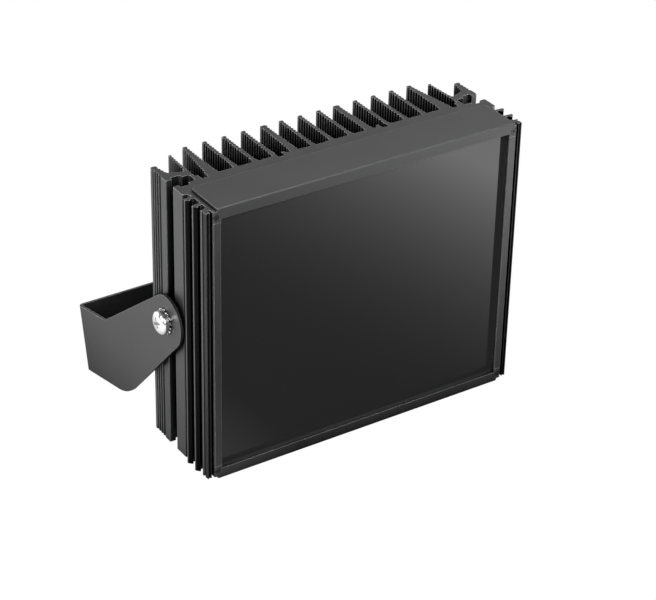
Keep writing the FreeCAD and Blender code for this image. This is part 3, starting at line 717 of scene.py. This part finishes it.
wear("front_window", black_pane("dark_window", (0.020, 0.020, 0.0205)))


# ---- End caps
# Each cap is an aluminium plate with a lip over the window and two ears, finished in a fine
# black powder coat, and screwed to the front of the extrusion at its ears.

# The powder coat's painted highlight colour, and how far its painted shade looks for walls.
coat_edge_highlight = (0.50, 0.50, 0.51)
coat_crevice = 0.0006


def powder_coat(name, edge_radius, hollow):
    """Fine-grained black powder coat, a little cloudy in tone, with painted shade in its hollows and
    painted highlights on its edges.
    """
    material, tree, shader, place = start_material(name, black, 0.42)
    rounded, on_edge = softened(tree, edge_radius)
    pebble = noise(tree, place, 2600.0, 2.0)
    cloud = noise(tree, place, 30.0, 3.0)
    toned = blend_colour(tree, spread(tree, cloud, 0.35, 0.65), black, scaled(black, 1.15))
    black_with_painted_light(tree, shader, toned, coat_edge_highlight, on_edge, coat_crevice, hollow)
    uneven_gloss(tree, shader, pebble, 0.36, 0.48)
    bumped(tree, shader, pebble, 0.00004, 0.6, rounded)
    return material


cap_coat = powder_coat("cap_powder_coat", 0.0003, wide_hollow)
for cap in ("top_cap", "bottom_cap"):
    wear(cap, cap_coat)


# ---- Corner screws
# Four countersunk M2.5 screws in black oxide, with a small hexagon socket, hold the cap ears
# and the window frame at the corners of the front.

corner_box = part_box("corner_screws")
corner_length = corner_box[1].y - corner_box[0].y
corner_head = 0.0024
corner_rim = 0.0002
corner_rim_drop = 0.0001
corner_shank = 0.00125
corner_sink = 0.0012
corner_tip = 0.0007
corner_socket = 0.0015
socket_depth = 0.0009
corner_thread = {"radius": corner_shank, "depth": 0.00025, "pitch": 0.00045}


def black_oxide(name):
    """Oiled black oxide on steel, worn lighter at its edges."""
    material, tree, shader, place = start_material(name, (0.030, 0.030, 0.032), 0.32, 0.6)
    rounded, on_edge = softened(tree, 0.00012)
    film = noise(tree, place, 1500.0, 3.0)
    two_toned(tree, shader, on_edge, (0.030, 0.030, 0.032), (0.14, 0.14, 0.145))
    uneven_gloss(tree, shader, film, 0.26, 0.40)
    bumped(tree, shader, film, 0.00001, 0.4, rounded)
    return material


def corner_screw_model():
    """One countersunk screw about the Y axis, its face at zero."""
    bm = bmesh.new()
    profile = [(0, 0.0), (corner_head - corner_rim, 0.0), (corner_head, corner_rim_drop),
               (corner_shank, corner_sink)]
    threaded_shank(profile, corner_sink + thread_start, corner_length, corner_tip, **corner_thread)
    revolve(bm, profile, 36)
    screw = mesh_object("corner_screw_model", bm, black_oxide("black_oxide"))
    bm = bmesh.new()
    hexagon(bm, corner_socket, 2 * socket_depth, 0.0)
    boolean_cut(screw, mesh_object("socket_tool", bm, screw.data.materials[0]))
    return screw


corner_places = [(x, corner_box[0].y, z)
                 for x in (corner_box[0].x + corner_head, corner_box[1].x - corner_head)
                 for z in (corner_box[0].z + corner_head, corner_box[1].z - corner_head)]
settle(screw_set("corner_screws_detailed", corner_screw_model(), 7, corner_places),
       "housing", "black_steel", "corner_screws")


# ---- Cable gland
# A black nylon gland screws into the back of the base between the fins: a body with a
# spanner hexagon, and a cap nut that squeezes a rubber bush onto the cable.

gland_nylon = moulded("gland_nylon", (0.018, 0.018, 0.0185), 0.48, 2200.0)
for gland_piece in ("gland_body", "gland_cap_nut"):
    wear(gland_piece, gland_nylon)


# ---- Slot nuts and spacers
# A square zinc-plated M8 nut slides in each side slot, and a plain zinc-plated washer sits
# between the slot's jaws and the bracket arm.

wear("slot_nuts", zinc)
wear("spacer_washers", zinc)


# ---- Lock washers
# A spring-steel washer with fourteen twisted outside teeth, nickel plated, bites the arm and
# the screw head on each side.

washer_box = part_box("lock_washers")
washer_thick = 0.0012
pivot_place = (washer_box[0] + washer_box[1]) / 2
band_share = 0.7
tooth_share = 0.45


def bright_plate(name, roughness):
    """Bright nickel with a slight haze."""
    material, tree, shader, place = start_material(name, (0.80, 0.80, 0.81), roughness, 1.0)
    rounded, on_edge = softened(tree, 0.0002)
    haze = noise(tree, place, 700.0, 4.0)
    uneven_gloss(tree, shader, haze, roughness - 0.03, roughness + 0.08)
    bumped(tree, shader, haze, 0.00001, 0.3, rounded)
    return material


def toothed_washer_tree(name, sizes, material):
    """A flat band with twisted teeth round it, upright across the X axis on every point."""
    tree, given = start_tree(name, sizes)
    band_line = figure(tree, "SUBTRACT", given["Radius"], given["Reach"])
    band_line = figure(tree, "SUBTRACT", band_line, given["Band"])
    path = step(tree, "GeometryNodeCurvePrimitiveCircle", {"Resolution": 84, "Radius": band_line})
    section = step(tree, "GeometryNodeCurvePrimitiveQuadrilateral",
                   {"Width": given["Band"],
                    "Height": figure(tree, "MULTIPLY", given["Thickness"], band_share)})
    band = step(tree, "GeometryNodeCurveToMesh", {"Curve": path, "Profile Curve": section})
    tooth_size = vector(tree, given["Tooth length"], given["Tooth width"],
                        figure(tree, "MULTIPLY", given["Thickness"], tooth_share))
    tooth = step(tree, "GeometryNodeMeshCube", {"Size": tooth_size})
    tooth = moved(tree, tooth, Rotation=vector(tree, given["Twist"]))
    half_tooth = figure(tree, "MULTIPLY", given["Tooth length"], 0.5)
    tooth_line = figure(tree, "SUBTRACT", given["Radius"], half_tooth)
    ring = step(tree, "GeometryNodeMeshCircle", {"Vertices": given["Teeth"], "Radius": tooth_line})
    around = step(tree, "FunctionNodeAlignRotationToVector",
                  {"Vector": step(tree, "GeometryNodeInputPosition", {})}, axis="X")
    whole = joined(tree, band, on_points(tree, ring, tooth, Rotation=around))
    upright = moved(tree, whole, Rotation=(0.0, pi / 2, 0.0))
    return close_tree(tree, on_points(tree, given["Geometry"], upright), material)


nickel = bright_plate("bright_nickel", 0.09)
washer_sizes = {"Radius": (washer_box[1].z - washer_box[0].z) / 2, "Thickness": washer_thick,
                "Teeth": 14, "Reach": 0.00215, "Band": 0.0021, "Tooth width": 0.0022,
                "Tooth length": 0.0021, "Twist": 0.42}
washer_x = washer_box[1].x - washer_thick / 2
washer_places = [(side * washer_x, pivot_place.y, pivot_place.z) for side in (-1, 1)]
washer_shape = toothed_washer_tree("toothed_washer", washer_sizes, nickel)
settle(grown("lock_washers_detailed", washer_shape, washer_sizes, washer_places),
       "pivot_carriage", "bright_plating", "lock_washers")


# ---- Pivot screws
# An M8 pan-head screw with a cross recess, nickel plated, turns in the slot nut on each side.
# It is the bracket's pivot, and clamps the arm at its angle.

pivot_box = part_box("pivot_screws")
pivot_seat = washer_box[1].x
pivot_radius = (pivot_box[1].z - pivot_box[0].z) / 2
pivot_height = pivot_box[1].x - pivot_seat
pivot_chamfer = 0.0003
pivot_rim = 0.0024
pivot_crown = 0.0046
pivot_crown_drop = 0.0004
pivot_top = 0.0026
pivot_top_drop = 0.00012
pivot_steps = 12
pivot_recess = {"half_width": 0.0010, "half_span": 0.0047, "depth": 0.0030, "turn": radians(25)}
pivot_shank = 0.004
pivot_length = 0.016
pivot_tip = 0.0007
pivot_pitch = 0.00125
pivot_ridge = 0.0006
ridge_buried = 0.00025


def pivot_screw_model():
    """One screw's head about the Y axis: its seat at zero, its top at minus its height."""
    bm = bmesh.new()
    profile = [(0, 0.0), (pivot_radius - pivot_chamfer, 0.0), (pivot_radius, -pivot_chamfer),
               (pivot_radius, -pivot_rim)]
    for i in range(1, pivot_steps + 1):
        angle = pi / 2 * i / pivot_steps
        profile.append((pivot_crown + (pivot_radius - pivot_crown) * cos(angle),
                        -pivot_rim - (pivot_height - pivot_crown_drop - pivot_rim) * sin(angle)))
    profile += [(pivot_top, -pivot_height + pivot_top_drop), (0, -pivot_height)]
    revolve(bm, profile, 72)
    screw = mesh_object("pivot_screw_model", bm, nickel)
    cut_cross(screw, -pivot_height, **pivot_recess)
    return screw


def screw_thread_tree(name, sizes, material, model):
    """A tree that winds a ridge round a core and adds the head, once for each side."""
    tree, given = start_tree(name, sizes)
    turns = figure(tree, "DIVIDE", given["Length"], given["Pitch"])
    line = step(tree, "GeometryNodeCurveSpiral",
                {"Resolution": 40, "Rotations": turns, "Start Radius": given["Radius"],
                 "End Radius": given["Radius"], "Height": given["Length"]})
    section = step(tree, "GeometryNodeCurvePrimitiveCircle", {"Resolution": 3, "Radius": given["Ridge"]})
    ridge = step(tree, "GeometryNodeCurveToMesh",
                 {"Curve": line, "Profile Curve": section, "Fill Caps": True})
    core_radius = figure(tree, "SUBTRACT", given["Radius"], given["Ridge"])
    core_radius = figure(tree, "ADD", core_radius, ridge_buried)
    core = step(tree, "GeometryNodeMeshCylinder",
                {"Vertices": 48, "Radius": core_radius, "Depth": given["Length"]})
    core = moved(tree, core, Translation=vector(tree, z=figure(tree, "MULTIPLY", given["Length"], 0.5)))
    laid = moved(tree, joined(tree, ridge, core), Rotation=(-pi / 2, 0.0, 0.0))
    head = step(tree, "GeometryNodeObjectInfo", {"Object": model}, "Geometry")
    whole = joined(tree, laid, head)
    across = step(tree, "ShaderNodeSeparateXYZ", {0: step(tree, "GeometryNodeInputPosition", {})})
    outwards = figure(tree, "MULTIPLY", figure(tree, "SIGN", across), pi / 2)
    pair = on_points(tree, given["Geometry"], whole, Rotation=vector(tree, z=outwards))
    return close_tree(tree, pair, material)


pivot_model = pivot_screw_model()
pivot_sizes = {"Length": pivot_length - pivot_tip, "Pitch": pivot_pitch,
               "Radius": pivot_shank - pivot_ridge, "Ridge": pivot_ridge}
pivot_shape = screw_thread_tree("pivot_screw", pivot_sizes, nickel, pivot_model)
pivot_places = [(side * pivot_seat, pivot_place.y, pivot_place.z) for side in (-1, 1)]
pivot_piece = grown("pivot_screws_detailed", pivot_shape, pivot_sizes, pivot_places)
bpy.data.objects.remove(pivot_model)
settle(pivot_piece, "pivot_carriage", "bright_plating", "pivot_screws")


# ---- Bracket
# One strip of 2 mm steel sheet, cut, folded twice and powder coated black. Its two arms hang
# on the pivot screws, and its base has a large middle hole and two wall holes.

between_arms = 0.110

# The coat's painted shade looks for walls as far as the width between the arms, and its edges get a
# painted highlight.
wear("bracket", powder_coat("bracket_powder_coat", 0.0004, between_arms))


# ---- Studio
# A white sweep under and behind the unit, and soft lights above, left, in front and behind.
# The floor is white to the camera and keeps the unit's shadow. What the unit's gloss sees of
# it is dark near its foot and lighter to both sides, as in a small light tent.

sweep_half = 12.0
floor_white = 1.03
floor_white_share = 0.965
unit_middle = (0.0, 0.0, 0.1)
light_side = 1.0
camera_at = (-0.7381, -1.0776, 0.8829)
camera_lens = 127.6
camera_sensor = 36.0


def light_path(tree, name):
    """One of the light path's flags."""
    return step(tree, "ShaderNodeLightPath", {}, name)


def glossy_glow(tree, place):
    """How bright the floor is to gloss: nearly black in the middle, lighter to both sides."""
    parts = step(tree, "ShaderNodeSeparateXYZ", {0: place}).node.outputs
    ahead = figure(tree, "MULTIPLY_ADD", parts["Y"], -0.25, parts["X"])
    right = figure(tree, "POWER", spread(tree, ahead, 0.0, 0.36), 2.8)
    left = spread(tree, parts["X"], -0.05, -0.24, 0.0, 1.25)
    sides = figure(tree, "ADD", figure(tree, "MULTIPLY", right, 2.7), left)
    return figure(tree, "ADD", sides, 0.02)


def studio_floor():
    """The floor, in one tone for each kind of ray that meets it."""
    mesh = bpy.data.meshes.new("floor")
    corners = [(x * sweep_half, y * sweep_half, 0) for x, y in ((-1, -1), (1, -1), (1, 1), (-1, 1))]
    mesh.from_pydata(corners, [], [(0, 1, 2, 3)])
    floor = placed("floor", mesh)
    material, tree, shader, place = start_material("white_sweep", (0.2, 0.2, 0.2), 0.9)
    shader.inputs["Specular IOR Level"].default_value = 0.0
    white = step(tree, "ShaderNodeEmission", {"Strength": floor_white})
    white_share = figure(tree, "MULTIPLY", light_path(tree, "Is Camera Ray"), floor_white_share)
    plain = step(tree, "ShaderNodeMixShader", {"Fac": white_share, 1: shader.outputs[0], 2: white})
    glow = step(tree, "ShaderNodeEmission", {"Strength": glossy_glow(tree, place)})
    surface = step(tree, "ShaderNodeMixShader",
                   {"Fac": light_path(tree, "Is Glossy Ray"), 1: plain, 2: glow})
    tree.links.new(surface, tree.nodes["Material Output"].inputs["Surface"])
    mesh.materials.append(material)


def soft_light(name, at, watts):
    """A square soft light that looks at the unit's middle."""
    light = bpy.data.lights.new(name, "AREA")
    light.shape = "RECTANGLE"
    light.size = light_side
    light.size_y = light_side
    light.energy = watts
    aim = Vector(unit_middle) - Vector(at)
    turn = aim.to_track_quat("-Z", "Y").to_matrix().to_4x4()
    placed(name, light).matrix_world = Matrix.Translation(at) @ turn


def studio_world(strength, mirrored_strength):
    """Plain light for the unit, and a white wall for the camera and for gloss and glass."""
    world = bpy.data.worlds.new("studio")
    world.use_nodes = True
    tree = world.node_tree
    plain = tree.nodes["Background"]
    plain.inputs["Color"].default_value = (1, 1, 1, 1)
    plain.inputs["Strength"].default_value = strength
    output = plain.outputs[0]
    for flag, brightness in (("Is Glossy Ray", mirrored_strength), ("Is Transmission Ray", 1.0),
                             ("Is Camera Ray", 1.0)):
        wall = step(tree, "ShaderNodeBackground", {"Color": (1, 1, 1, 1), "Strength": brightness})
        output = step(tree, "ShaderNodeMixShader", {"Fac": light_path(tree, flag), 1: output, 2: wall})
    tree.links.new(output, tree.nodes["World Output"].inputs["Surface"])
    bpy.context.scene.world = world


def photo_camera():
    """The camera of the photograph, from its bearing, height and tilt."""
    azimuth, elevation, roll = radians(-33.706), radians(31.203), radians(1.315)
    back = Vector((sin(azimuth) * cos(elevation), -cos(azimuth) * cos(elevation), sin(elevation)))
    right = Vector((cos(azimuth), sin(azimuth), 0.0))
    up = back.cross(right)
    right_turned = right * cos(roll) + up * sin(roll)
    up_turned = up * cos(roll) - right * sin(roll)
    data = bpy.data.cameras.new("photo_view")
    data.lens = camera_lens
    data.sensor_width = camera_sensor
    data.sensor_fit = "HORIZONTAL"
    camera = placed("photo_view", data)
    turn = Matrix((right_turned, up_turned, back)).transposed()
    camera.matrix_world = Matrix.Translation(camera_at) @ turn.to_4x4()
    bpy.context.scene.camera = camera


studio_floor()
studio_world(0.08, 0.3)
soft_light("overhead", (0.6, 0.2, 1.4), 17.0)
soft_light("left_fill", (-1.6, -0.1, 0.9), 16.0)
soft_light("front_fill", (-0.4, -1.5, 1.2), 36.0)
soft_light("back_fill", (-1.1, 1.5, 0.35), 16.0)
photo_camera()
bpy.context.scene.view_settings.view_transform = "Standard"
